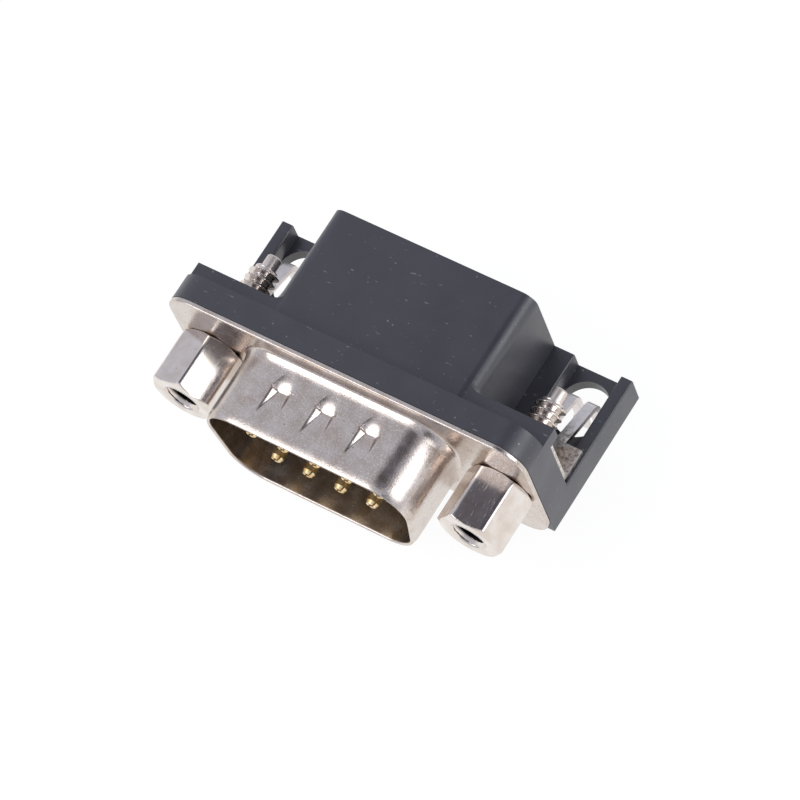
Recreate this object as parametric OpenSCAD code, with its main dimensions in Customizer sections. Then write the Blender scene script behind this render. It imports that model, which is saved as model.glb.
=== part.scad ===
// Right-angle D-sub plug with nine pins, for a board.
// Origin: centre of the flange's front face. X runs along the flange, the mating side is -Y, up is +Z.

/* [Flange] */
// Width of the flange
flange_w = 30.81; // [29.8:0.01:33]
// Height of the flange
flange_h = 12.55; // [12:0.01:13.6]
// Radius of the flange's corners
flange_corner_r = 2.4; // [1:0.1:3]
// Thickness of the shell's sheet
sheet_t = 0.4; // [0.3:0.01:0.5]
// Distance from the flange's ends to the jackscrews' middles
screw_inset = 2.91; // [2.7:0.01:3.1]

/* [Shroud] */
// Distance from the flange's ends to the inside of the shroud, where it is widest
shroud_inset = 6.945; // [6.7:0.005:7.1]
// Height inside the shroud
shroud_h = 8.36; // [8.2:0.01:8.6]
// Lean of the shroud's sides
shroud_lean = 10; // [5:1:12]
// Radius inside the shroud's corners
shroud_corner_r = 2.6; // [1.5:0.1:3]
// Reach of the shroud in front of the flange
shroud_reach = 6.05; // [5.5:0.01:6.6]

/* [Dimples] */
// Distance between the grip dimples
dimple_pitch = 3.8; // [3:0.1:4.5]
// Width of a dimple's floor
dimple_w = 1.3; // [0.8:0.1:2]
// Length of a dimple's ramp
dimple_ramp = 1.75; // [1.2:0.05:2.2]
// Depth of a dimple at its shoulder
dimple_depth = 0.4; // [0.2:0.05:0.5]
// Distance from the flange to the dimples' deepest line
dimple_back = 2.25; // [1.8:0.05:2.6]

/* [Contacts] */
// Distance between pins in a row
pin_pitch = 2.77; // [2.7:0.01:2.8]
// Distance between the two rows
row_pitch = 2.84; // [2.7:0.01:2.9]
// Diameter of a pin's mating end
pin_d = 1.02; // [0.9:0.01:1.1]
// Reach of the pins in front of the flange
pin_reach = 5.21; // [4.8:0.01:5.4]
// Diameter of a pin's tail
tail_d = 0.76; // [0.6:0.01:0.8]
// Radius of a pin's bend, along its middle
tail_bend_r = 1.1; // [0.8:0.1:1.4]
// Length of the tails below the board seat
tail_reach = 3.4; // [2.5:0.1:4]
// Distance from the flange's front face to the middle of the two tail rows
tail_mid = 9.28; // [9:0.01:9.5]

/* [Insulator] */
// Reach of the insulator in front of the flange
insulator_reach = 0.3; // [0:0.05:1]
// Width of the insulator's collar outside the shroud's outline
collar_out = 0.8; // [0.5:0.05:1]
// Thickness of the insulator's collar
collar_t = 0.9; // [0.6:0.05:1.2]
// Distance from the flange's front face to the insulator's rear
insulator_back = 5.4; // [4.5:0.1:6]

/* [Housing] */
// Height of the flange's centre above the board
seat_drop = 5.79; // [5.6:0.01:6]
// Distance from the flange's front face to the block's rear face
block_back = 2.43; // [2.2:0.01:2.6]
// Thickness of the arms behind the block
arm_t = 0.61; // [0.5:0.01:0.8]
// Height of the arms above the flange's centre
arm_top = 4.1; // [3.8:0.01:4.3]
// Depth of the rib along the arms' top
rib_depth = 1; // [0.6:0.05:1.3]
// Height of that rib
rib_h = 1.22; // [1:0.01:1.6]
// Width of the hood outside the shroud's inside, on each side
hood_out = 0.28; // [0.1:0.01:0.5]
// Height of the hood's top above the flange's centre
hood_top = 4.2; // [4.1:0.01:4.4]
// Distance from the rear tail row to the rear of the hood and feet
tail_room = 1.58; // [1.4:0.01:1.9]
// Radius of the hood's long edges
hood_r = 1.1; // [0.6:0.1:1.5]
// Radius where the hood's sides meet the arms
hood_fillet_r = 0.6; // [0.3:0.1:0.8]
// Wall of the hood
hood_wall = 0.9; // [0.7:0.05:1]

/* [Feet] */
// Thickness of the foot plates
foot_t = 1.04; // [0.8:0.01:1.3]
// Height of the ledges and rims
rim_h = 2.64; // [2.3:0.01:2.9]
// Width of the inner ledges
ledge_w = 1.71; // [1.4:0.01:2]
// Width of the outer rims
rim_w = 1; // [0.8:0.01:1.2]
// Radius along the ledges and rims
rim_r = 0.15; // [0.1:0.05:0.4]
// Radius of the mounting holes
foot_hole_r = 1.9; // [1.8:0.05:1.9]
// Extra length of the mounting holes along Y
foot_hole_slot = 0.75; // [0.3:0.05:1]

/* [Jackscrews] */
// Width of the hex across its flats
hex_af = 4.75; // [4.5:0.05:5]
// Length of the hex
hex_len = 4.65; // [4.4:0.05:5]
// Diameter of the thread in the hex, at its crests
female_d = 2.26; // [2.1:0.01:2.6]
// Depth of that thread
female_depth = 4; // [3.5:0.1:4.2]
// Diameter of the stud behind the hex
stud_d = 2.4; // [2.2:0.05:2.7]
// Length of the threaded stud
stud_len = 7.15; // [6.5:0.05:7.5]
// Diameter of the stud's nose
nose_d = 1.2; // [1:0.05:1.8]
// Length of the stud's nose
nose_len = 1.1; // [0.6:0.05:1.4]
// Turn of the left hex
left_turn = 21.4; // [0:0.1:60]
// Turn of the right hex
right_turn = 52.8; // [0:0.1:60]

/* [Board-locks] */
// Thickness of the board-locks' sheet
lock_t = 0.45; // [0.35:0.01:0.5]
// Gap from a board-lock to the fillet at the hood's side
lock_side = 0.505; // [0.3:0.005:0.7]
// Radius inside the board-locks' bends
lock_bend_r = 0.3; // [0.2:0.05:0.5]
// Depth of the foot of a board-lock, from the arm
lock_foot = 2.71; // [2.2:0.01:3]
// Distance between the two legs
leg_gap = 0.8; // [0.6:0.05:1]
// Width of a leg
leg_w = 0.85; // [0.7:0.05:0.95]
// Slope of the legs above the hole
leg_slope = 17; // [10:1:22]
// Outer radius of the legs' bend into the hole
leg_bend_r = 0.9; // [0.7:0.05:1.1]
// Distance from the middle of the hole back to the legs
leg_back = 0.7; // [0.5:0.05:0.8]
// Width of the barb at a leg's tip
leg_barb = 0.3; // [0.1:0.05:0.4]
// Reach of the legs below the board seat
leg_reach = 3; // [2:0.1:3.5]

/* [Hidden] */
$fn = 64;
fit = 0.03;                                     // clearance between pieces that slip together
eps = 0.01;                                     // overlap of cutters past a face
hair = 0.0005;                                  // inset of straight sides from their corner circles
screw_gap = 0.2;                                // round the stud, in the sheet and the housing

screw_span = flange_w - 2 * screw_inset;        // distance between the two jackscrews
screw_x = screw_span / 2;
screw_hole_r = stud_d / 2 + screw_gap;
shroud_w = flange_w - 2 * shroud_inset;         // inside the shroud, where it is widest
d_top = shroud_w / 2 - shroud_corner_r;         // corner centres of the D outline
d_high = shroud_h / 2 - shroud_corner_r;
d_low = d_top - 2 * d_high * tan(shroud_lean);
D = [[d_low, -d_high], [d_top, d_high], [-d_top, d_high], [-d_low, -d_high]];
flange_corners = corner_ring(flange_w / 2 - flange_corner_r, flange_h / 2 - flange_corner_r);

hood_w = shroud_w + 2 * hood_out;
housing_back = tail_mid + row_pitch / 2 + tail_room;
arm_back = block_back + arm_t;
rim_top = rim_h - seat_drop;
window_room = 1.2;                              // below the lower pins, in the block's window
hood_in = hood_w / 2 - hood_wall;               // inside of the hood
hood_in_back = housing_back - hood_wall;
hood_in_top = hood_top - hood_wall;
hood_in_low = -row_pitch / 2 - tail_d - window_room;
collar_back = sheet_t + collar_t;
spacer_t = 0.9;
tail_hole_r = tail_d / 2 + fit;

lock_w = 2 * (screw_x - hood_w / 2 - hood_fillet_r - lock_side);
lock_foot_back = arm_back + lock_foot;
lock_foot_low = rim_top + hair;
lock_bend = [arm_back + lock_t + lock_bend_r, rim_top + lock_t + lock_bend_r];
leg_in = leg_gap / 2;                           // a leg's sides, from the screw's middle
leg_out = leg_in + leg_w;
leg_rear = tail_mid + leg_back;
leg_up = [sin(leg_slope), cos(leg_slope)];      // square to the sloping stretch
leg_root = 1;                                   // length that a leg runs into the foot
leg_bend = [leg_rear - leg_bend_r, lock_foot_low + lock_t
            - (leg_bend_r - hair + (leg_rear - leg_bend_r - lock_foot_back) * leg_up[0]) / leg_up[1]];
board_t = 1.6;                                  // circuit board that the locks snap under

function corner_ring(x, y) = [[x, -y], [x, y], [-x, y], [-x, -y]];
function outward(a, b) = [b[1] - a[1], a[0] - b[0]] / norm(b - a);

// Outline that rolls round the corner centres, listed counter-clockwise, at distance r. Its straight
// sides lie a hair inside the tangents, so that they cut the corner circles cleanly
module rolled(centres, r) {
    n = len(centres);
    for (c = centres) translate(c) circle(r);
    polygon([for (i = [0:n - 1])
        let (a = centres[i], b = centres[(i + 1) % n], out = (r - hair) * outward(a, b))
        each [a + out, b + out]]);
}

// Solid between two depths, from an outline in X and Z
module slab(front, back) {
    translate([0, back, 0]) rotate([90, 0, 0]) linear_extrude(back - front) children();
}

// Solid from a side view in Y and Z, centred on x
module side_slab(x, width) {
    translate([x - width / 2, 0, 0]) rotate([90, 0, 90]) linear_extrude(width) children();
}

module both_sides() {
    for (side = [0, 1]) mirror([side, 0, 0]) children();
}

// Front shell: one drawn sheet
module front_shell() {
    color([0.85, 0.83, 0.81]) rotate([90, 0, 0]) difference() {
        union() {
            difference() {
                union() {
                    translate([0, 0, -sheet_t]) linear_extrude(sheet_t)
                        rolled(flange_corners, flange_corner_r);
                    translate([0, 0, -sheet_t / 2]) linear_extrude(shroud_reach + sheet_t / 2)
                        rolled(D, shroud_corner_r + sheet_t);
                }
                translate([0, 0, -sheet_t - eps]) linear_extrude(shroud_reach + sheet_t + 2 * eps)
                    rolled(D, shroud_corner_r);
                for (side = [-1, 1]) translate([side * screw_x, 0, -sheet_t - eps])
                    cylinder(r = screw_hole_r, h = sheet_t + 2 * eps);
            }
            for (place = [-1, 0, 1]) dimple(place, sheet_t);
        }
        for (place = [-1, 0, 1]) dimple(place, 0);
    }
}

// Wedge that sinks towards the flange and ends in a steep shoulder, lowered and widened by drop
module dimple(place, drop) {
    over = sheet_t / 2;
    width = dimple_w + drop;
    translate([place * dimple_pitch - width / 2, shroud_h / 2 + sheet_t - drop, dimple_back])
        rotate([0, 90, 0]) linear_extrude(width)
        polygon([[-dimple_ramp, 0], [0, -dimple_depth], [dimple_depth, 0], [dimple_depth, over],
                 [-dimple_ramp, over]]);
}

// Housing: one moulding with the block, the arms, the hood and the feet
module housing() {
    color([0.2, 0.2, 0.23]) difference() {
        union() {
            slab(sheet_t, block_back) block_outline();
            slab(block_back - eps, arm_back)
                translate([-flange_w / 2, -seat_drop]) square([flange_w, arm_top + seat_drop]);
            slab(arm_back - eps, arm_back + rib_depth)
                translate([-flange_w / 2, arm_top - rib_h]) square([flange_w, rib_h]);
            slab(block_back - eps, housing_back) hood_outline();
            both_sides() {
                foot();
                hood_fillet(arm_back, arm_top - rib_h + eps);
                hood_fillet(arm_back + rib_depth, arm_top);
            }
        }
        slab(sheet_t - eps, collar_back + fit) rolled(D, shroud_corner_r + collar_out + fit);
        slab(collar_back, hood_in_back) hood_inside(hood_in_low);
        slab(block_back, hood_in_back) hood_inside(-seat_drop - eps);
        slab(0, arm_back + rib_depth)
            for (side = [-1, 1]) translate([side * screw_x, 0]) circle(screw_hole_r);
    }
}

module block_outline() {
    high = flange_h / 2 - flange_corner_r;
    wide = flange_w / 2 - flange_corner_r;
    for (side = [-1, 1]) translate([side * wide, high]) circle(flange_corner_r);
    polygon([[-flange_w / 2, -seat_drop], [flange_w / 2, -seat_drop], [flange_w / 2, high],
             [wide, flange_h / 2], [-wide, flange_h / 2], [-flange_w / 2, high]]);
}

module hood_outline() {
    wide = hood_w / 2 - hood_r;
    high = hood_top - hood_r;
    for (side = [-1, 1]) translate([side * wide, high]) circle(hood_r);
    polygon([[-hood_w / 2, -seat_drop], [hood_w / 2, -seat_drop], [hood_w / 2, high],
             [wide, hood_top], [-wide, hood_top], [-hood_w / 2, high]]);
}

module hood_inside(low) {
    translate([-hood_in, low]) square([2 * hood_in, hood_in_top - low]);
}

// Fillet that runs up the hood's side and round its long edge, as far as high
module hood_fillet(front, high) {
    low = -seat_drop;
    wide = hood_w / 2 - hood_r;
    round_at = min(high, hood_top - hood_r);
    translate([hood_w / 2, front, low]) linear_extrude(round_at - low) hollow_corner();
    if (high > round_at) intersection() {
        translate([wide, front, round_at]) rotate([90, 0, 0]) rotate_extrude(angle = 90)
            translate([hood_r, 0]) mirror([0, 1]) hollow_corner();
        translate([0, front - 2 * eps, low]) cube([flange_w / 2, hood_r + 1, high - low]);
    }
}

module hollow_corner() {
    difference() {
        translate([-2 * eps, -eps]) square(hood_fillet_r + eps);
        translate([hood_fillet_r - eps, hood_fillet_r - eps]) circle(hood_fillet_r);
    }
}

// Foot with its inner ledge, its outer rim and the mounting hole
module foot() {
    difference() {
        slab(block_back, housing_back) {
            translate([hood_w / 2 - eps, -seat_drop])
                square([flange_w / 2 - hood_w / 2 + eps, foot_t]);
            wall(hood_w / 2 - 1, hood_w / 2 + ledge_w);
            wall(flange_w / 2 - rim_w, flange_w / 2);
        }
        translate([screw_x, tail_mid, -seat_drop - eps]) linear_extrude(foot_t + 2 * eps) {
            for (end = [-0.5, 0.5]) translate([0, end * foot_hole_slot]) circle(foot_hole_r);
            square([2 * foot_hole_r, foot_hole_slot], center = true);
        }
    }
}

// Section of a ledge or rim, with its top edges rounded
module wall(left, right) {
    high = rim_top - rim_r;
    for (x = [left + rim_r, right - rim_r]) translate([x, high]) circle(rim_r);
    polygon([[left, -seat_drop], [right, -seat_drop], [right, high], [right - rim_r, rim_top],
             [left + rim_r, rim_top], [left, high]]);
}

// Insulator: nose in the shroud, collar behind the sheet, block in the hood
module insulator() {
    color([0.1, 0.09, 0.09]) difference() {
        union() {
            slab(-insulator_reach, collar_back) rolled(D, shroud_corner_r - fit);
            slab(sheet_t, collar_back) rolled(D, shroud_corner_r + collar_out);
            slab(collar_back - eps, insulator_back)
                translate([fit - hood_in, hood_in_low + fit])
                square([2 * (hood_in - fit), hood_in_top - hood_in_low - 2 * fit]);
        }
        for (k = [1:9]) translate([pin_x(k), 0, pin_z(k)]) rotate([90, 0, 0])
            translate([0, 0, -insulator_back - eps])
            cylinder(r = tail_hole_r, h = insulator_back + insulator_reach + 2 * eps);
        for (k = [1:9]) translate([pin_x(k), 0, pin_z(k)]) rotate([90, 0, 0])
            translate([0, 0, -sheet_t]) cylinder(d = pin_d + 2 * fit, h = sheet_t + insulator_reach + eps);
    }
}

// Pins 1 to 5 are in the upper row, 6 to 9 in the lower
function pin_x(k) = (k < 6 ? k - 3 : k - 7.5) * pin_pitch;
function pin_z(k) = (k < 6 ? 0.5 : -0.5) * row_pitch;
function pin_tail(k) = tail_mid + (k < 6 ? 0.5 : -0.5) * row_pitch;

// Pin: split mating end with a bored, chamfered tip, thinner shank, one bend and a pointed tail
module pin(k) {
    r = tail_d / 2;
    back = pin_tail(k) - tail_bend_r;
    length = pin_z(k) + seat_drop + tail_reach;
    tip_bevel = [0.13, 0.25];
    tip_bore = 0.36;
    split = [0.12, 0.7];
    point = 0.4;
    color([0.83, 0.68, 0.38]) translate([pin_x(k), 0, pin_z(k)]) {
        rotate([90, 0, 0]) difference() {
            rotate_extrude() polygon([[0, fit - sheet_t], [pin_d / 2, fit - sheet_t],
                [pin_d / 2, pin_reach - tip_bevel[1]], [pin_d / 2 - tip_bevel[0], pin_reach],
                [0, pin_reach]]);
            translate([0, 0, pin_reach - split[1]]) {
                cylinder(d = tip_bore, h = split[1] + eps);
                for (turn = [45, 135]) rotate(turn)
                    translate([-pin_d, -split[0] / 2, 0]) cube([2 * pin_d, split[0], split[1] + eps]);
            }
        }
        translate([0, back, 0]) rotate([90, 0, 0]) cylinder(r = r, h = back - sheet_t + fit + eps);
        translate([0, back, -tail_bend_r]) rotate([90, 0, 90]) rotate_extrude(angle = 90)
            translate([tail_bend_r, 0]) circle(r);
        translate([0, pin_tail(k), 0]) rotate([180, 0, 0]) {
            translate([0, 0, tail_bend_r]) cylinder(r = r, h = length - tail_bend_r - point);
            translate([0, 0, length - point - eps]) cylinder(r1 = r, r2 = r / 2, h = point);
        }
    }
}

// Plate that lines the tails up, snapped into the hood
module pin_spacer() {
    front = insulator_back + fit;
    color([0.12, 0.12, 0.13]) translate([0, 0, -seat_drop]) linear_extrude(spacer_t) difference() {
        translate([fit - hood_in, front]) square([2 * (hood_in - fit), hood_in_back - front - fit]);
        for (k = [1:9]) translate([pin_x(k), pin_tail(k)]) circle(tail_hole_r);
    }
}

// Jackscrew: chamfered hex with a female thread, and a stud with a smooth nose
module jackscrew(turn) {
    flat = hex_af / 2;
    corner = flat / cos(30);
    chamfer = 0.6 * (corner - flat);
    mouth = 0.4;
    nose_bevel = 0.2;
    color([0.87, 0.85, 0.82]) rotate([90, 0, 0]) difference() {
        union() {
            intersection() {
                rotate(turn) cylinder(r = corner, h = hex_len, $fn = 6);
                rotate_extrude() polygon([[0, 0], [flat, 0], [corner + eps, chamfer],
                    [corner + eps, hex_len - chamfer], [flat, hex_len], [0, hex_len]]);
            }
            translate([0, 0, -stud_len]) cylinder(d = stud_d, h = stud_len + eps);
            rotate_extrude() polygon([[0, -stud_len - nose_len], [nose_d / 2 - nose_bevel, -stud_len - nose_len],
                [nose_d / 2, -stud_len - nose_len + nose_bevel], [nose_d / 2, eps - stud_len],
                [0, eps - stud_len]]);
        }
        translate([0, 0, hex_len - female_depth]) cylinder(d = female_d, h = female_depth + eps);
        translate([0, 0, hex_len - mouth])
            cylinder(d1 = female_d, d2 = female_d + 2 * (mouth + eps), h = mouth + eps);
    }
}

// Board-lock: plate behind the arm, foot on the ledge and rim, two spring legs through the hole
module boardlock() {
    color([0.72, 0.71, 0.69]) translate([screw_x, 0, 0]) {
        difference() {
            side_slab(0, lock_w) difference() {
                foot_side(lock_bend_r + lock_t);
                foot_side(lock_bend_r);
            }
            slab(arm_back - eps, arm_back + lock_t + 2 * eps) circle(stud_d / 2 + fit);
        }
        for (side = [0, 1]) mirror([side, 0, 0]) {
            side_slab((leg_in + leg_out) / 2, leg_w) difference() {
                leg_side(leg_bend_r, lock_foot_back - leg_root, -seat_drop);
                leg_side(leg_bend_r - lock_t, arm_back, -seat_drop - leg_bend_r);
            }
            slab(leg_rear - lock_t - hair, leg_rear - hair) leg_tip();
        }
    }
}

// Side view of what lies behind and above the plate and foot, at distance r from their bend's middle
module foot_side(r) {
    side = r - hair;
    top = arm_top - rib_h - fit + (r > lock_bend_r ? 0 : eps);
    back = lock_foot_back + (r > lock_bend_r ? 0 : eps);
    translate(lock_bend) circle(r);
    polygon([lock_bend - [side, 0], lock_bend - [0, side], [back, lock_bend[1] - side], [back, top],
             [lock_bend[0] - side, top]]);
}

// Side view of what lies under a leg, at distance r from its bend's middle
module leg_side(r, front, low) {
    side = r - hair;
    high = lock_foot_low + lock_t - leg_bend_r + r;
    fold = lock_foot_back - (leg_bend_r - r) * tan(leg_slope / 2);
    translate(leg_bend) circle(r);
    polygon([[front, low], [front, high], [fold, high], leg_bend + side * leg_up, leg_bend + [side, 0],
             [leg_bend[0] + side, low]]);
}

// End of a leg below the board seat, with a barb that catches under the board
module leg_tip() {
    barb = -seat_drop - board_t;
    tip = -seat_drop - leg_reach;
    polygon([[leg_in, -seat_drop + eps], [leg_out, -seat_drop + eps], [leg_out, barb],
             [leg_out + leg_barb, barb - leg_barb], [leg_out - leg_w / 2, tip], [leg_in, tip]]);
}

front_shell();
housing();
insulator();
for (k = [1:9]) pin(k);
pin_spacer();
translate([-screw_x, 0, 0]) jackscrew(left_turn);  // jackscrew_left
translate([screw_x, 0, 0]) jackscrew(right_turn);  // jackscrew_right
mirror([1, 0, 0]) boardlock();  // boardlock_left
boardlock();  // boardlock_right
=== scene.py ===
import math

import bmesh
import bpy
import numpy as np
from mathutils import Matrix, Vector


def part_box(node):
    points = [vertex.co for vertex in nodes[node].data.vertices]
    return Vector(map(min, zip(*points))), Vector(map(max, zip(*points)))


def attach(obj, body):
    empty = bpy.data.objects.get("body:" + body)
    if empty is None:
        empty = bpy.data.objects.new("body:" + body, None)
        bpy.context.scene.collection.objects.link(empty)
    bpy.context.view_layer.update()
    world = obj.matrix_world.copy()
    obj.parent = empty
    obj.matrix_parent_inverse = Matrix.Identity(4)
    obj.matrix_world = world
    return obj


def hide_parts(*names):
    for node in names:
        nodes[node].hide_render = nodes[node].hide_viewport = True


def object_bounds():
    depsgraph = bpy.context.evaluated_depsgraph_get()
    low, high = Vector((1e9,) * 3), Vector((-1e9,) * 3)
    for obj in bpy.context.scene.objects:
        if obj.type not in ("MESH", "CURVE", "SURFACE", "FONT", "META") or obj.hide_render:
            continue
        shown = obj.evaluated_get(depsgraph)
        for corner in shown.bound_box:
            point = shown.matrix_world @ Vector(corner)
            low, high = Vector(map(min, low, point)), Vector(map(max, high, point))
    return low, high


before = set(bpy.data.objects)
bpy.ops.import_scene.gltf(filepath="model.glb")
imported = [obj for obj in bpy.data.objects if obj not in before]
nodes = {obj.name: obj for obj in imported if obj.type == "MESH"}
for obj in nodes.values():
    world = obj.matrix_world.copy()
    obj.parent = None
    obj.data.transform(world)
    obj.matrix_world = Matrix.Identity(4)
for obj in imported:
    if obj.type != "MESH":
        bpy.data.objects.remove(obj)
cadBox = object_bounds()
mm = 0.001


def linear(hexColour):
    # sRGB hex to linear, channel by channel
    values = [int(hexColour[i:i + 2], 16) / 255 for i in (0, 2, 4)]
    return [v / 12.92 if v <= 0.04045 else ((v + 0.055) / 1.055) ** 2.4 for v in values] + [1.0]


def addNode(tree, kind, inputs=None, stops=None, **settings):
    # one shader node with its own settings: inputs are values or the sockets that feed it, and stops
    # are the (position, hex colour) pairs of a colour ramp
    node = tree.nodes.new("ShaderNode" + kind)
    for key, value in settings.items():
        setattr(node, key, value)
    for key, value in (inputs or {}).items():
        if isinstance(value, bpy.types.NodeSocket):
            tree.links.new(value, node.inputs[key])
        else:
            node.inputs[key].default_value = value
    if stops:
        elements = node.color_ramp.elements
        while len(elements) < len(stops):
            elements.new(0.5)
        for element, (place, colour) in zip(elements, stops):
            element.position = place
            element.color = linear(colour)
    return node


def newMaterial(name):
    material = bpy.data.materials.new(name)
    material.use_nodes = True
    material.node_tree.nodes.clear()
    return material, material.node_tree


def boxOf(node):
    # low and high corner of a node's box, in mm
    return [np.array(corner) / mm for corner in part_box(node)]


def addPiece(name, mesh, material, smooth=30):
    # an object with smooth faces, with every edge sharper than an angle in degrees marked sharp
    piece = bpy.data.objects.new(name, mesh)
    bpy.context.scene.collection.objects.link(piece)
    mesh.materials.append(material)
    mesh.shade_smooth()
    work = bmesh.new()
    work.from_mesh(mesh)
    for edge in work.edges:
        closed = len(edge.link_faces) == 2
        edge.smooth = closed and edge.calc_face_angle(0) < math.radians(smooth)
    work.to_mesh(mesh)
    work.free()
    return piece


def placeMesh(name, vertices, faces, material, smooth=30):
    mesh = bpy.data.meshes.new(name)
    mesh.from_pydata(vertices.tolist(), [], faces)
    mesh.update()
    return addPiece(name, mesh, material, smooth)


def outwards(piece):
    work = bmesh.new()
    work.from_mesh(piece.data)
    bmesh.ops.recalc_face_normals(work, faces=work.faces)
    work.to_mesh(piece.data)
    work.free()


def applyModifiers(piece):
    graph = bpy.context.evaluated_depsgraph_get()
    mesh = bpy.data.meshes.new_from_object(piece.evaluated_get(graph))
    piece.modifiers.clear()
    piece.data = mesh


def gridFaces(rows, columns, closeRows=False, closeColumns=False):
    # quads of a grid of rows x columns points, wrapped round where a direction closes on itself
    r = np.arange(rows if closeRows else rows - 1)
    c = np.arange(columns if closeColumns else columns - 1)
    r, c = [a.ravel() for a in np.meshgrid(r, c, indexing="ij")]
    up, over = (r + 1) % rows, (c + 1) % columns
    return np.stack([r * columns + c, r * columns + over, up * columns + over, up * columns + c], 1)


def ride(piece, replaced):
    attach(piece, "root")
    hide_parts(replaced)


def smoothLeast(a, b, soft):
    # the smaller of two values, with the crease between them rounded over a length
    mix = np.clip(0.5 + 0.5 * (b - a) / soft, 0, 1)
    return b * (1 - mix) + a * mix - soft * mix * (1 - mix)


def specks(tree, place, cell, share, size):
    # sparse dots: Voronoi cells of a size in mm, of which a share hold a dot up to size cells in radius
    cells = addNode(tree, "TexVoronoi", {"Vector": place, "Scale": 1 / (cell * mm)})
    chance = addNode(tree, "SeparateColor", {"Color": cells.outputs["Color"]})
    reach = addNode(tree, "MapRange", {"Value": chance.outputs[0], "From Min": 1 - share,
                                       "From Max": 1.0, "To Min": 0.0, "To Max": size})
    gap = addNode(tree, "Math", {0: reach.outputs["Result"], 1: cells.outputs["Distance"]},
                  operation="SUBTRACT")
    edge = addNode(tree, "MapRange", {"Value": gap.outputs[0], "From Min": 0.0, "From Max": 0.05})
    return edge.outputs["Result"]


def blackPlastic(name, dark, light, dustShare, dustColour):
    # glass-filled PBT, moulded: dark slate with a cloudy sheen, pale dust, short rubbed nicks that run
    # along the moulding, and the eroded grain of its mould, drawn coarser than the real one to show
    material, tree = newMaterial(name)
    place = addNode(tree, "TexCoord").outputs["Object"]
    grain = addNode(tree, "TexNoise", {"Vector": place, "Scale": 1 / (0.12 * mm), "Detail": 4.0})
    cloud = addNode(tree, "TexNoise", {"Vector": place, "Scale": 1 / (3 * mm), "Detail": 5.0})
    body = addNode(tree, "ValToRGB", {"Fac": cloud.outputs["Fac"]}, [(0.35, dark), (0.65, light)])
    along = addNode(tree, "Mapping", {"Vector": place, "Scale": (0.22, 1.0, 1.0)})
    rubbed = addNode(tree, "TexNoise", {"Vector": along.outputs[0], "Scale": 1 / (0.16 * mm),
                                        "Detail": 1.0})
    nicks = addNode(tree, "MapRange", {"Value": rubbed.outputs["Fac"], "From Min": 0.73,
                                       "From Max": 0.8, "To Min": 0.0, "To Max": 0.5})
    patches = addNode(tree, "MapRange", {"Value": cloud.outputs["Fac"], "From Min": 0.42,
                                         "From Max": 0.6, "To Min": 0.15, "To Max": 0.75})
    dusted = addNode(tree, "Math", {0: specks(tree, place, 0.5, dustShare, 0.17),
                                    1: patches.outputs["Result"]}, operation="MULTIPLY")
    marks = addNode(tree, "Math", {0: dusted.outputs[0], 1: nicks.outputs["Result"]},
                    operation="MAXIMUM")
    colour = addNode(tree, "Mix", {"Factor": marks.outputs[0], 6: body.outputs["Color"],
                                   7: linear(dustColour)}, data_type="RGBA")
    rough = addNode(tree, "MapRange", {"Value": cloud.outputs["Fac"], "From Min": 0.3,
                                       "From Max": 0.7, "To Min": 0.36, "To Max": 0.48})
    bump = addNode(tree, "Bump", {"Height": grain.outputs["Fac"], "Strength": 0.35,
                                  "Distance": 0.02 * mm})
    shader = addNode(tree, "BsdfPrincipled", {
        "Base Color": colour.outputs[2], "Roughness": rough.outputs["Result"], "IOR": 1.9,
        "Sheen Weight": 0.25, "Sheen Roughness": 0.4, "Normal": bump.outputs["Normal"]})
    addNode(tree, "OutputMaterial", {"Surface": shader.outputs["BSDF"]})
    return material


def goldFlash():
    # thin gold plated over nickel on brass: bright, slightly uneven satin
    material, tree = newMaterial("goldFlash")
    place = addNode(tree, "TexCoord").outputs["Object"]
    cloud = addNode(tree, "TexNoise", {"Vector": place, "Scale": 1 / (0.3 * mm), "Detail": 3.0})
    colour = addNode(tree, "ValToRGB", {"Fac": cloud.outputs["Fac"]},
                     [(0.35, "EFCB87"), (0.65, "FFEFC8")])
    shader = addNode(tree, "BsdfPrincipled", {"Base Color": colour.outputs["Color"], "Metallic": 1.0,
                                              "Roughness": 0.36})
    addNode(tree, "OutputMaterial", {"Surface": shader.outputs["BSDF"]})
    return material


def tinnedSheet(darkEnd):
    # tinned spring sheet, stamped and bent: pale satin, dull and mottled darker in spots from the arm
    # as far back as darkEnd, in mm
    material, tree = newMaterial("tinnedSheet")
    place = addNode(tree, "TexCoord").outputs["Object"]
    mottle = addNode(tree, "TexNoise", {"Vector": place, "Scale": 1 / (0.3 * mm), "Detail": 6.0,
                                        "Roughness": 0.7})
    axes = addNode(tree, "SeparateXYZ", {"Vector": place})
    # darker, mottled colour in front of darkEnd, the plain pale colour behind it
    darkening = addNode(tree, "MapRange", {
        "Value": axes.outputs["Y"], "From Min": (darkEnd + 0.6) * mm,
        "From Max": (darkEnd - 0.6) * mm,
        "To Min": 0.12, "To Max": 0.9})
    darkMottle = addNode(tree, "ValToRGB", {"Fac": mottle.outputs["Fac"]},
                      [(0.36, "6B635B"), (0.47, "BDB5AC"), (0.6, "E9E3DC")])
    colour = addNode(tree, "Mix", {"Factor": darkening.outputs["Result"], 6: linear("E9E3E1"),
                                   7: darkMottle.outputs["Color"]}, data_type="RGBA")
    rough = addNode(tree, "MapRange", {"Value": mottle.outputs["Fac"], "From Min": 0.3,
                                       "From Max": 0.7, "To Min": 0.42, "To Max": 0.32})
    bump = addNode(tree, "Bump", {"Height": mottle.outputs["Fac"], "Strength": 0.2,
                                  "Distance": 0.02 * mm})
    shader = addNode(tree, "BsdfPrincipled", {
        "Base Color": colour.outputs[2], "Metallic": 1.0, "Roughness": rough.outputs["Result"],
        "Normal": bump.outputs["Normal"]})
    addNode(tree, "OutputMaterial", {"Surface": shader.outputs["BSDF"]})
    return material


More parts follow.
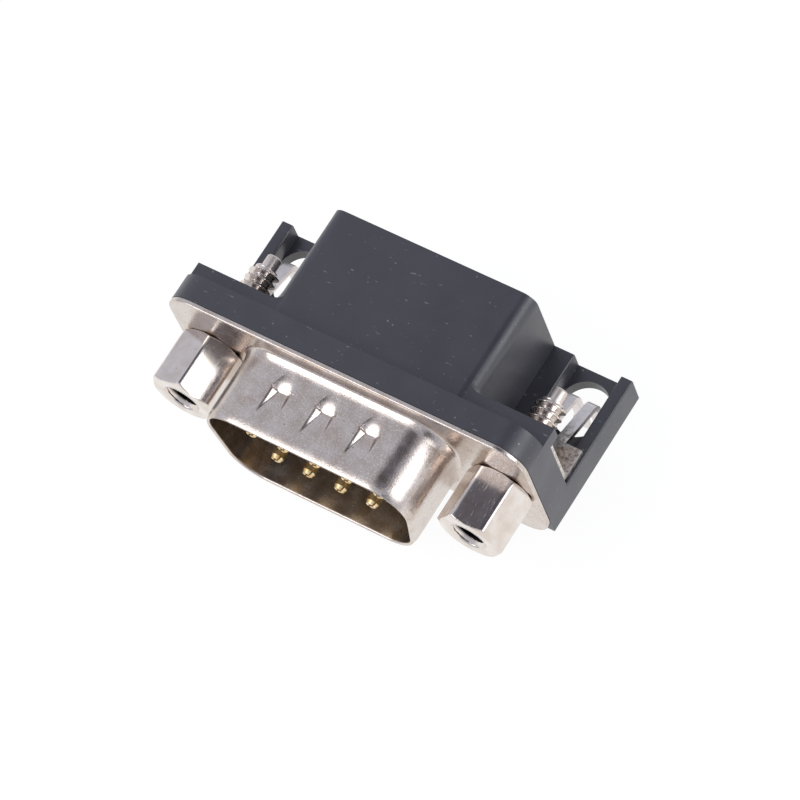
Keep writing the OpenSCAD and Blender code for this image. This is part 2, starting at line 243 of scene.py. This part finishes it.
def softened(name, node, edgeRound, material):
    # a merged copy of the node's mesh, its flat faces joined, with a small round on every sharp edge,
    # held inside the node's box
    work = bmesh.new()
    work.from_mesh(nodes[node].data)
    bmesh.ops.remove_doubles(work, verts=work.verts, dist=1e-7)
    bmesh.ops.dissolve_limit(work, angle_limit=math.radians(0.8), verts=work.verts,
                             edges=work.edges)
    mesh = bpy.data.meshes.new(name)
    work.to_mesh(mesh)
    work.free()
    piece = addPiece(name, mesh, material)
    bevel = piece.modifiers.new("edges", "BEVEL")
    bevel.width = edgeRound * mm
    bevel.segments = 2
    bevel.limit_method = "ANGLE"
    bevel.angle_limit = math.radians(30)
    bevel.miter_outer = "MITER_ARC"
    bevel.harden_normals = True
    applyModifiers(piece)
    low, high = [np.array(corner, np.float32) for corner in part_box(node)]
    points = np.empty(3 * len(piece.data.vertices), np.float32)
    piece.data.vertices.foreach_get("co", points)
    points = np.clip(points.reshape(-1, 3), low, high)
    piece.data.vertices.foreach_set("co", points.ravel())
    ride(piece, node)


housingPlastic = blackPlastic("blackPbt", "181824", "20202D", 0.4, "9C9AA4")
insulatorPlastic = blackPlastic("insulatorPbt", "161314", "1C191A", 0.8, "8A827C")
lockMetal = tinnedSheet(7.0)

softSolids = {      # node: name of the piece, edge round in mm, finish, slot
    "housing": ("housingMoulding", 0.12, housingPlastic, "housing_plastic"),
    "insulator": ("insulatorBlock", 0.05, insulatorPlastic, "insulator_plastic"),
    "pin_spacer": ("tailSpacer", 0.06, insulatorPlastic, "insulator_plastic"),
    "boardlock_left": ("boardLock_left", 0.05, lockMetal, "lock_metal"),
    "boardlock_right": ("boardLock_right", 0.05, lockMetal, "lock_metal"),
}
for solid, (pieceName, edgeRound, pieceFinish, slotName) in softSolids.items():
    softened(pieceName, solid, edgeRound, pieceFinish)
print("mouldings and board-locks made")

pinGold = goldFlash()
for k in range(1, 10):
    pinMesh = nodes["pin_" + str(k)].data
    pinMesh.materials.clear()
    pinMesh.materials.append(pinGold)
print("pins gilded")


# the front shell is one drawn sheet; sizes in mm, depths along Y from the flange's front
shell = {
    "sheet": 0.4, "reach": 6.05, "insideHeight": 8.36, "cornerRadius": 2.6,
    "lean": 10.0,                   # of the D's sides, in degrees
    "shroudInset": 6.945,           # from the flange's end to the inside of the shroud
    "screwInset": 2.91, "screwHole": 1.4, "flangeCorner": 2.4, "edgeRound": 0.1,
    "rootRadius": 0.3, "rootFlare": 0.16, "flareStart": -0.95,
    "lipRound": 0.12, "lipDroop": 0.1, "droopStart": -5.2,
    "mouthLift": 0.13, "liftLength": 0.6,       # the upper lip is thinned from inside
    "dimplePitch": 3.8, "dimpleDepth": 0.38, "dimpleSoft": 0.14,
    "dimpleFront": -4.1, "dimpleDeep": -2.3, "dimpleRear": -1.05,
    "dimpleFloor": 0.42, "dimpleSide": 0.36, "shoulderHalf": 0.82, "dimpleHalf": 0.95,
    "topColumns": 190, "topHalf": 5.6, "rowStep": 0.055,        # finer mesh over the dimples
}


def nickelShell():
    # nickel-plated drawn steel: warm, bright satin with cloudy patches and a few dark pits, and the
    # sparkling grain of barrel plating, drawn coarser than the real one to show
    material, tree = newMaterial("nickelPlatedSteel")
    place = addNode(tree, "TexCoord").outputs["Object"]
    grain = addNode(tree, "TexNoise", {"Vector": place, "Scale": 1 / (0.11 * mm), "Detail": 3.0})
    cloud = addNode(tree, "TexNoise", {"Vector": place, "Scale": 1 / (1.1 * mm), "Detail": 5.0})
    plate = addNode(tree, "ValToRGB", {"Fac": cloud.outputs["Fac"]},
                    [(0.34, "DDD0C5"), (0.5, "E8DED6"), (0.68, "EFE7E1")])
    dulled = addNode(tree, "ValToRGB", {"Fac": grain.outputs["Fac"]},
                     [(0.4, "D2CFCD"), (0.58, "E4E1DF"), (0.66, "FFFFFF")])
    grained = addNode(tree, "Mix", {"Factor": 0.7, 6: plate.outputs["Color"],
                                    7: dulled.outputs["Color"]},
                      data_type="RGBA", blend_type="MULTIPLY")
    pitted = addNode(tree, "Math", {0: specks(tree, place, 0.55, 0.45, 0.16), 1: 0.6},
                     operation="MULTIPLY")
    colour = addNode(tree, "Mix", {"Factor": pitted.outputs[0], 6: grained.outputs[2],
                                   7: linear("6E5F58")}, data_type="RGBA")
    rough = addNode(tree, "MapRange", {"Value": cloud.outputs["Fac"], "From Min": 0.3,
                                       "From Max": 0.7, "To Min": 0.2, "To Max": 0.3})
    bump = addNode(tree, "Bump", {"Height": grain.outputs["Fac"], "Strength": 0.45,
                                  "Distance": 0.02 * mm})
    shader = addNode(tree, "BsdfPrincipled", {
        "Base Color": colour.outputs[2], "Metallic": 1.0, "Roughness": rough.outputs["Result"],
        "Normal": bump.outputs["Normal"]})
    addNode(tree, "OutputMaterial", {"Surface": shader.outputs["BSDF"]})
    return material


def roundedReach(directions, centres, radius):
    # distance from the origin, along each direction, to the outline at a radius from a convex ring of
    # corner centres: the far root of |t d - c| = r at a corner, and t = (n.c + r) / (n.d) at a side
    ahead = np.roll(centres, -1, axis=0)
    length = np.linalg.norm(ahead - centres, axis=1)
    along = (ahead - centres) / length[:, None]
    outward = np.stack([along[:, 1], -along[:, 0]], 1)
    toward = directions @ outward.T
    side = ((outward * centres).sum(1) + radius) / np.where(toward > 1e-9, toward, np.nan)
    place = ((side[:, :, None] * directions[:, None] - centres) * along).sum(2)
    side = np.where((place >= 0) & (place <= length), side, np.nan)
    near = directions @ centres.T
    inside = near ** 2 - (centres ** 2).sum(1) + radius ** 2
    corner = near + np.sqrt(np.where(inside > 0, inside, np.nan))
    offset = corner[:, :, None] * directions[:, None] - centres
    before = (offset * np.roll(along, 1, axis=0)).sum(2)
    after = -(offset * along).sum(2)
    corner = np.where((before >= -1e-9) & (after >= -1e-9), corner, np.nan)
    return np.nanmax(np.concatenate([side, corner], 1), axis=1)


def dimpleDepths(x, y):
    # depth pressed into the shroud's top: a ramp that sinks towards the flange, two sloping sides, and
    # a half-elliptical shoulder behind it that falls as (1 - share of the way to its rim)^1.5
    s = shell
    pitch, deep = s["dimplePitch"], s["dimpleDepth"]
    across = np.abs((x + pitch / 2) % pitch - pitch / 2)
    across = np.where(np.abs(x) < 1.5 * pitch, across, 9.0)     # three dimples, and none beyond them
    ramped = deep * (y - s["dimpleFront"]) / (s["dimpleDeep"] - s["dimpleFront"])
    behind = np.clip(y - s["dimpleDeep"], 0, None)
    oval = np.sqrt(np.clip(1 - (across / s["shoulderHalf"]) ** 2, 0.01, 1))
    inside = 1 - behind / ((s["dimpleRear"] - s["dimpleDeep"]) * oval)
    shoulder = deep * np.where(inside > 0, np.abs(inside) ** 1.5, inside)
    shoulder = shoulder + 4 * np.clip(s["dimpleDeep"] - y, 0, None)     # only the ramp holds in front
    sides = deep * (s["dimpleFloor"] + s["dimpleSide"] - across) / s["dimpleSide"] + 1.2 * behind
    depth = smoothLeast(smoothLeast(ramped, shoulder, 0.03), sides, 0.06)
    depth = -smoothLeast(-depth, np.zeros_like(depth), s["dimpleSoft"])
    return np.where(across < s["dimpleHalf"], depth, 0)


def arcPoints(centre, radius, start, end, count):
    # points of an arc in (offset, depth), angles in degrees
    angle = np.radians(np.linspace(start, end, count))
    return np.stack([centre[0] + radius * np.cos(angle), centre[1] + radius * np.sin(angle)], 1)


def turnsRound(dRing, flangeRing):
    # angles of the columns round the origin: even steps, finer over the dimples and at the corners
    s = shell
    top = np.full(s["topColumns"], s["insideHeight"] / 2 + s["sheet"])
    turns = [np.radians(np.arange(0, 360, 3)),
             np.arctan2(top, np.linspace(-s["topHalf"], s["topHalf"], s["topColumns"]))]
    outer = s["cornerRadius"] + s["sheet"]
    for ring, radius, steps in ((dRing, outer, 26), (flangeRing, s["flangeCorner"], 18)):
        around = np.linspace(0, 2 * math.pi, 4 * steps, endpoint=False)
        points = ring[:, None] + radius * np.stack([np.cos(around), np.sin(around)], 1)
        points = points[(points * ring[:, None]).sum(2) > (ring ** 2).sum(1)[:, None]]
        turns.append(np.arctan2(points[:, 1], points[:, 0]))
    turn = np.sort(np.concatenate(turns) % (2 * math.pi))
    return turn[np.concatenate([[True], np.diff(turn) > 0.004])]


def shroudSection():
    # section of the shroud in (distance from the corner centres, depth), from the flange's front over
    # the root, out to the lip and back inside: the root flares and the lip droops as squares of depth
    s = shell
    inner, root, lip = s["cornerRadius"], s["rootRadius"], s["lipRound"]
    outer = inner + s["sheet"]
    spread = math.atan(2 * s["rootFlare"] / (-root * 0.5 - s["flareStart"]))
    start = -root * (1 - math.sin(spread))
    bend = (outer + s["rootFlare"] + root * math.cos(spread), -root)
    turned = 180 - math.degrees(spread)
    wall = np.concatenate([
        np.linspace(start, s["dimpleRear"] + 0.25, 14)[1:],
        np.arange(s["dimpleRear"] + 0.2, s["dimpleFront"] - 0.25, -s["rowStep"]),
        np.linspace(s["dimpleFront"] - 0.3, lip - s["reach"], 16)])
    flare = np.clip((s["flareStart"] - wall) / (s["flareStart"] - start), 0, 1)
    flare = s["rootFlare"] * flare ** 2
    droop = np.clip((s["droopStart"] - wall) / (s["droopStart"] + s["reach"] - lip), 0, 1)
    droop = s["lipDroop"] * droop ** 2
    return np.concatenate([
        arcPoints(bend, root, 90, turned, 8),
        np.stack([outer + flare - droop, wall], 1),
        arcPoints((outer - lip - s["lipDroop"], lip - s["reach"]), lip, -15, -90, 5)[1:],
        arcPoints((inner + lip, lip - s["reach"]), lip, -90, -180, 5)[1:],
        np.stack([inner + flare, wall], 1)[-2::-2],
        arcPoints(bend, root + s["sheet"], turned, 90, 8)])


def makeShell():
    # the section carried round the D outline: each point lies along its direction from the origin, at
    # roundedReach of its distance from the corner centres; the flange closes the loop the same way
    s = shell
    low, high = boxOf("front_shell")
    inner, root = s["cornerRadius"], s["rootRadius"]
    dHalf = high[0] - s["shroudInset"] - inner
    dHigh = s["insideHeight"] / 2 - inner
    dLow = dHalf - 2 * dHigh * math.tan(math.radians(s["lean"]))
    dRing = np.array([[dLow, -dHigh], [dHalf, dHigh], [-dHalf, dHigh], [-dLow, -dHigh]])
    x, z = high[0] - s["flangeCorner"], high[2] - s["flangeCorner"]
    flangeRing = np.array([[x, -z], [x, z], [-x, z], [-x, -z]])
    turn = turnsRound(dRing, flangeRing)
    directions = np.stack([np.cos(turn), np.sin(turn)], 1)

    def ringAt(ring, distance, y):
        reach = roundedReach(directions, ring, distance)
        return np.concatenate([directions * reach[:, None], np.full((len(turn), 1), y)], 1)

    section = shroudSection()
    rows = np.array([ringAt(dRing, distance, y) for distance, y in section])
    tip = np.argmin(section[:, 1])
    lift = np.clip((s["droopStart"] - section[tip:, 1]) / s["liftLength"], 0, 1)
    rows[tip:, :, 1] += (s["mouthLift"] * lift)[:, None] * np.clip(rows[tip:, :, 1] / dHigh, 0, 1)
    depth = dimpleDepths(rows[:, :, 0], rows[:, :, 2])
    level = np.clip((rows[:, :, 1] - (dHigh + 0.92 * inner)) / (0.05 * inner), 0, 1)    # flat top only
    rows[:, :, 1] -= depth * level * (rows[:, :, 2] < -root)

    # the flange's edge is rounded at the back and front, and its two faces have three rows each
    edge = s["edgeRound"]
    rim = np.concatenate([arcPoints((-edge, s["sheet"] - edge), edge, 90, 0, 5),
                          arcPoints((-edge, edge), edge, 0, -90, 5)])
    rim[:, 1] = np.clip(rim[:, 1], 0, s["sheet"])
    rim = np.array([ringAt(flangeRing, s["flangeCorner"] + inset, y) for inset, y in rim])
    share = np.linspace(0.25, 0.75, 3)[:, None, None]
    backs = rows[-1] + (rim[0] - rows[-1]) * share
    fronts = rim[-1] + (rows[0] - rim[-1]) * share
    points = np.concatenate([rows, backs, rim, fronts])[:, :, [0, 2, 1]]
    faces = gridFaces(points.shape[0], points.shape[1], True, True)
    plated = nickelShell()
    piece = placeMesh("drawnShell", points.reshape(-1, 3) * mm, faces, plated, 50)
    outwards(piece)
    for side in (-1, 1):
        cutRound(piece, side * (high[0] - s["screwInset"]), s["screwHole"], 3, plated)
    ride(piece, "front_shell")


def cutRound(piece, x, radius, length, material, sides=72):
    # a round hole along Y: a circle of points at each end, cut by a boolean that is applied at once
    angle = np.linspace(0, 2 * math.pi, sides, endpoint=False)
    ends = [np.stack([x + radius * np.cos(angle), np.full(sides, y), radius * np.sin(angle)], 1)
            for y in (-length / 2, length / 2)]
    faces = gridFaces(2, sides, False, True).tolist()
    faces += [list(range(sides)), list(range(2 * sides - 1, sides - 1, -1))]
    cutter = placeMesh("cutter", np.concatenate(ends) * mm, faces, material)
    outwards(cutter)
    cut = piece.modifiers.new("hole", "BOOLEAN")
    cut.operation, cut.object, cut.solver = "DIFFERENCE", cutter, "EXACT"
    applyModifiers(piece)
    bpy.data.objects.remove(cutter)


makeShell()
print("front shell made")


# the jackscrews are turned from hex bar; sizes in mm, threads 40 to the inch and a little finer
screw = {
    "acrossFlats": 4.75, "hexLength": 4.65, "faceBevel": 0.22, "cornerSoft": 0.04,
    "mouth": 0.3, "mouthRadius": 1.53, "femaleCrest": 1.13, "femaleRoot": 1.42,
    "femalePitch": 0.635, "femaleDepth": 4.0, "firstCrest": 0.45,
    "maleCrest": 1.2, "maleRoot": 0.86, "malePitch": 0.62, "studLength": 7.15,
    "noseRadius": 0.6, "noseLength": 1.1, "noseRound": 0.15,
    "turned": {"left": 21.4, "right": 52.8},        # how far each hex is turned, in degrees
    "steps": 144,
}


def nickelScrew():
    # nickel-plated turned brass: brighter and smoother than the shell, with fine scratches along the
    # bar, drawn coarser than the real ones to show; the end of the stud is satin, and in the bore, past
    # the first thread, painted shade darkens the wall to a dark brown
    s = screw
    low, high = boxOf("jackscrew_right")
    material, tree = newMaterial("nickelPlatedBrass")
    place = addNode(tree, "TexCoord").outputs["Object"]
    along = addNode(tree, "Mapping", {"Vector": place, "Scale": (1.0, 0.07, 1.0)})
    lines = addNode(tree, "TexNoise", {"Vector": along.outputs[0], "Scale": 1 / (0.07 * mm),
                                       "Detail": 4.0, "Roughness": 0.65})
    axes = addNode(tree, "SeparateXYZ", {"Vector": place})
    onHex = addNode(tree, "MapRange", {"Value": axes.outputs["Y"], "From Min": 0.0,
                                       "From Max": 0.1 * mm, "To Min": 0.17, "To Max": 0.02})
    satin = addNode(tree, "MapRange", {
        "Value": axes.outputs["Y"], "From Min": (s["studLength"] - 0.25) * mm,
        "From Max": (s["studLength"] + 0.05) * mm, "To Min": 0.0, "To Max": 0.25})
    cloud = addNode(tree, "TexNoise", {"Vector": place, "Scale": 1 / (1.2 * mm), "Detail": 3.0})
    plate = addNode(tree, "ValToRGB", {"Fac": cloud.outputs["Fac"]},
                    [(0.35, "DACFC6"), (0.65, "E9E1DB")])
    marked = addNode(tree, "Math", {0: specks(tree, place, 0.5, 0.4, 0.14), 1: 0.5},
                     operation="MULTIPLY")
    spotted = addNode(tree, "Mix", {"Factor": marked.outputs[0], 6: plate.outputs["Color"],
                                    7: linear("8A7F78")}, data_type="RGBA")

    # the bore, where the painted shade goes: near either screw's axis, behind its mouth and before the
    # flange
    folded = addNode(tree, "Math", {0: axes.outputs["X"]}, operation="ABSOLUTE")
    offAxis = addNode(tree, "Math", {0: folded.outputs[0], 1: (low[0] + high[0]) / 2 * mm},
                      operation="SUBTRACT")
    radial = addNode(tree, "CombineXYZ", {"X": offAxis.outputs[0], "Z": axes.outputs["Z"]})
    radius = addNode(tree, "VectorMath", {0: radial.outputs[0]}, operation="LENGTH")
    near = addNode(tree, "MapRange", {
        "Value": radius.outputs["Value"], "From Min": (s["mouthRadius"] - 0.03) * mm,
        "From Max": (s["femaleRoot"] + 0.02) * mm})
    within = addNode(tree, "MapRange", {
        "Value": axes.outputs["Y"], "From Min": (0.35 - s["hexLength"]) * mm,
        "From Max": (0.5 - s["hexLength"]) * mm})
    before = addNode(tree, "Math", {0: axes.outputs["Y"], 1: -0.1 * mm}, operation="LESS_THAN")
    bore = addNode(tree, "Math", {0: near.outputs["Result"], 1: within.outputs["Result"]},
                   operation="MULTIPLY")
    paintedBoreShade = addNode(tree, "Math", {0: bore.outputs[0], 1: before.outputs[0]},
                     operation="MULTIPLY")
    # painted shade: the bore's wall is darkened to a dark brown
    colour = addNode(tree, "Mix", {"Factor": paintedBoreShade.outputs[0], 6: spotted.outputs[2],
                                   7: linear("3A3230")}, data_type="RGBA")
    scratched = addNode(tree, "MapRange", {"Value": lines.outputs["Fac"], "From Min": 0.6,
                                           "From Max": 0.7, "To Min": 0.16, "To Max": 0.42})
    rough = addNode(tree, "Math", {0: scratched.outputs["Result"], 1: satin.outputs["Result"]},
                    operation="ADD")
    bump = addNode(tree, "Bump", {"Height": lines.outputs["Fac"],
                                  "Strength": onHex.outputs["Result"], "Distance": 0.02 * mm})
    shader = addNode(tree, "BsdfPrincipled", {
        "Base Color": colour.outputs[2], "Metallic": 1.0, "Roughness": rough.outputs[0],
        "Normal": bump.outputs["Normal"]})
    addNode(tree, "OutputMaterial", {"Surface": shader.outputs["BSDF"]})
    return material


def threadWave(phase, flat=0.1):
    # one turn of a thread's section: 1 on the narrow crest, 0 in the root, straight flanks between
    saw = np.abs((phase % 1) * 2 - 1)
    return np.clip((saw - flat) / (1 - 2 * flat), 0, 1)


def makeJackscrew(side, material):
    # radius(angle, y) on a grid of stations: hex = flat / cos(angle from the flat's middle), the face
    # cones cut its corners, and each thread adds a helix of phase y / pitch + angle / 2 pi
    s = screw
    low, high = boxOf("jackscrew_" + side)
    centreX = (low[0] + high[0]) / 2
    steps, length, stud = s["steps"], s["hexLength"], s["studLength"]
    angle = np.linspace(0, 2 * math.pi, steps, endpoint=False)
    spin = angle / (2 * math.pi)
    flat = s["acrossFlats"] / 2
    corner = flat / math.cos(math.radians(30))
    fromFlat = (np.degrees(angle) - s["turned"][side]) % 60 - 30
    hexRadius = smoothLeast(flat / np.cos(np.radians(fromFlat)),
                            np.full(steps, corner - s["cornerSoft"]), 2 * s["cornerSoft"])
    rows = []

    def station(y, radius):
        radius = np.broadcast_to(radius, steps)
        rows.append(np.stack([centreX + radius * np.cos(angle), np.broadcast_to(y, steps),
                              radius * np.sin(angle)], 1))

    def femaleRadius(y):
        turns = (y + length - s["firstCrest"]) / s["femalePitch"] + spin - 0.75
        return s["femaleRoot"] - (s["femaleRoot"] - s["femaleCrest"]) * threadWave(turns)

    def bevelled(back):
        cone = flat + (corner - flat) / s["faceBevel"] * back - 0.03
        return smoothLeast(hexRadius, np.full(steps, cone), s["cornerSoft"])

    # female thread, from its drilled end out to the coned mouth
    bottom = s["femaleDepth"] - length
    station(bottom + 0.25, 0.3)
    station(bottom, s["femaleCrest"])
    for y in np.arange(bottom - 0.05, s["mouth"] - length, -s["femalePitch"] / 16):
        station(y, femaleRadius(y))
    for y in np.linspace(s["mouth"], 0.02, 9):
        station(y - length, np.maximum(femaleRadius(y - length), s["mouthRadius"] - y))
    station(-length, s["mouthRadius"] + 0.02)

    # front face, hex and rear face
    fromFace = (0.03, 0.06, 0.1, 0.14, 0.18, 0.22, 0.26, 0.32)
    station(-length, flat - 0.12)
    station(0.012 - length, flat - 0.05)
    for back in fromFace:
        station(back - length, bevelled(back))
    station(-length / 2, hexRadius)
    for back in fromFace[::-1]:
        station(-back, bevelled(back))
    station(-0.012, flat - 0.05)
    station(0, flat - 0.12)

    # stud: the thread with its run-out and end cone, then the plain nose with a rounded end
    station(0, s["maleRoot"] + 0.05)
    for y in np.arange(0.1, stud + 0.001, s["malePitch"] / 20):
        ends = np.clip(min((y - 0.1) / 0.6, (stud - y) / 0.3), 0, 1)
        wave = threadWave(y / s["malePitch"] + spin) * ends
        station(y, s["maleRoot"] + (s["maleCrest"] - s["maleRoot"]) * wave)
    station(stud, s["noseRadius"] + 0.12)
    station(stud + 0.05, s["noseRadius"])
    for turn in np.linspace(0, math.pi / 2, 6):
        station(stud + s["noseLength"] - s["noseRound"] * (1 - math.sin(turn)),
                s["noseRadius"] - s["noseRound"] * (1 - math.cos(turn)))

    # a point closes each end
    count = len(rows)
    tips = np.array([[centreX, bottom + 0.4, 0], [centreX, stud + s["noseLength"], 0]])
    points = np.concatenate([np.concatenate(rows), tips])
    faces = gridFaces(count, steps, False, True).tolist()
    here = np.arange(steps)
    after = (here + 1) % steps
    last = (count - 1) * steps
    faces += np.stack([after, here, np.full(steps, count * steps)], 1).tolist()
    faces += np.stack([here + last, after + last, np.full(steps, count * steps + 1)], 1).tolist()
    piece = placeMesh("jackscrew" + side.capitalize(), points * mm, faces, material, 32)
    outwards(piece)
    ride(piece, "jackscrew_" + side)


screwMetal = nickelScrew()
for side in ("left", "right"):
    makeJackscrew(side, screwMetal)
print("jackscrews made")


studio = {
    "tent": "CDD0DC",           # bluish white cloth all round
    "dark": "55535D",           # openings in the cloth
    "openings": [((0.08, 0.29, 0.95), 20), ((0.62, -0.29, 0.73), 15)],      # direction, half angle
    "softEdge": 3,              # of an opening, in degrees
    # soft boxes: azimuth, elevation, distance, size, brightness
    "boxes": {"rightBox": (108, 31, 0.5, 0.27, 2.6), "frontBox": (312, 54, 0.5, 0.26, 2.4)},
    "floor": {"paper": "F4F4F4", "half": 3.0, "glow": 1.06, "glowShare": 0.88},
    "camera": {"lookAt": (2.214, 2.448, 0.0), "azimuth": 54.651, "elevation": 59.918,
               "distance": 365.07, "roll": -25.44, "lens": 229.07},
}


def makeFloor(z):
    # pale paper that glows white to the camera and in reflections, and keeps some of the shadow
    plan = studio["floor"]
    material, tree = newMaterial("paperFloor")
    path = addNode(tree, "LightPath")
    seen = addNode(tree, "Math", {0: path.outputs["Is Camera Ray"],
                                  1: path.outputs["Is Glossy Ray"]}, operation="MAXIMUM")
    share = addNode(tree, "Math", {0: seen.outputs[0], 1: plan["glowShare"]},
                    operation="MULTIPLY")
    paper = addNode(tree, "BsdfDiffuse", {"Color": linear(plan["paper"])})
    glow = addNode(tree, "Emission", {"Color": (1, 1, 1, 1), "Strength": plan["glow"]})
    mixed = addNode(tree, "MixShader", {0: share.outputs[0], 1: paper.outputs[0],
                                        2: glow.outputs[0]})
    addNode(tree, "OutputMaterial", {"Surface": mixed.outputs[0]})
    half = plan["half"]
    corners = np.array([[-half, -half, z], [half, -half, z], [half, half, z], [-half, half, z]])
    placeMesh("floor", corners, [[0, 1, 2, 3]], material)


def makeWorld():
    # a cloth tent with dark openings, each a soft-edged disc round a direction; the camera sees white
    world = bpy.data.worlds.new("studio")
    bpy.context.scene.world = world
    world.use_nodes = True
    tree = world.node_tree
    tree.nodes.clear()
    toward = addNode(tree, "TexCoord").outputs["Generated"]
    colour = linear(studio["tent"])
    for direction, halfAngle in studio["openings"]:
        along = addNode(tree, "VectorMath", {0: toward, 1: Vector(direction).normalized()},
                        operation="DOT_PRODUCT")
        inside = addNode(tree, "MapRange", {
            "Value": along.outputs["Value"],
            "From Min": math.cos(math.radians(halfAngle + studio["softEdge"])),
            "From Max": math.cos(math.radians(halfAngle - studio["softEdge"]))})
        colour = addNode(tree, "Mix", {"Factor": inside.outputs["Result"], 6: colour,
                                       7: linear(studio["dark"])}, data_type="RGBA").outputs[2]
    path = addNode(tree, "LightPath")
    base = addNode(tree, "Background", {"Color": colour, "Strength": 1.0})
    shown = addNode(tree, "Background", {"Color": (1, 1, 1, 1), "Strength": 1.0})
    mixed = addNode(tree, "MixShader", {0: path.outputs["Is Camera Ray"], 1: base.outputs[0],
                                        2: shown.outputs[0]})
    addNode(tree, "OutputWorld", {"Surface": mixed.outputs[0]})


def fromObject(azimuth, elevation):
    # unit vector from the object towards an azimuth and elevation in degrees
    a, e = math.radians(azimuth), math.radians(elevation)
    return Vector((math.sin(a) * math.cos(e), -math.cos(a) * math.cos(e), math.sin(e)))


def addLamp(name, azimuth, elevation, distance, size, brightness):
    # square soft box that faces the object; power = pi x area x brightness
    back = fromObject(azimuth, elevation)
    light = bpy.data.lights.new(name, "AREA")
    light.size = size
    light.energy = math.pi * size ** 2 * brightness
    lamp = bpy.data.objects.new(name, light)
    bpy.context.scene.collection.objects.link(lamp)
    lamp.location = back * distance
    lamp.rotation_mode = "QUATERNION"
    lamp.rotation_quaternion = back.to_track_quat("Z", "Y")


def makeCamera():
    # the camera looks at a point in mm from an azimuth, an elevation and a distance, and is rolled
    # about its axis
    plan = studio["camera"]
    back = fromObject(plan["azimuth"], plan["elevation"])
    lens = bpy.data.cameras.new("camera")
    lens.sensor_width = 36
    lens.lens = plan["lens"]
    lens.clip_start, lens.clip_end = 0.01, 10
    camera = bpy.data.objects.new("camera", lens)
    bpy.context.scene.collection.objects.link(camera)
    camera.location = Vector(plan["lookAt"]) * mm + back * plan["distance"] * mm
    turn = Matrix.Rotation(math.radians(plan["roll"]), 3, "Z")
    camera.rotation_mode = "QUATERNION"
    camera.rotation_quaternion = (back.to_track_quat("Z", "Y").to_matrix() @ turn).to_quaternion()
    bpy.context.scene.camera = camera


makeCamera()
makeFloor(cadBox[0].z)
makeWorld()
for boxName, boxPlan in studio["boxes"].items():
    addLamp(boxName, *boxPlan)
bpy.context.scene.view_settings.view_transform = "Standard"
print("stage made")
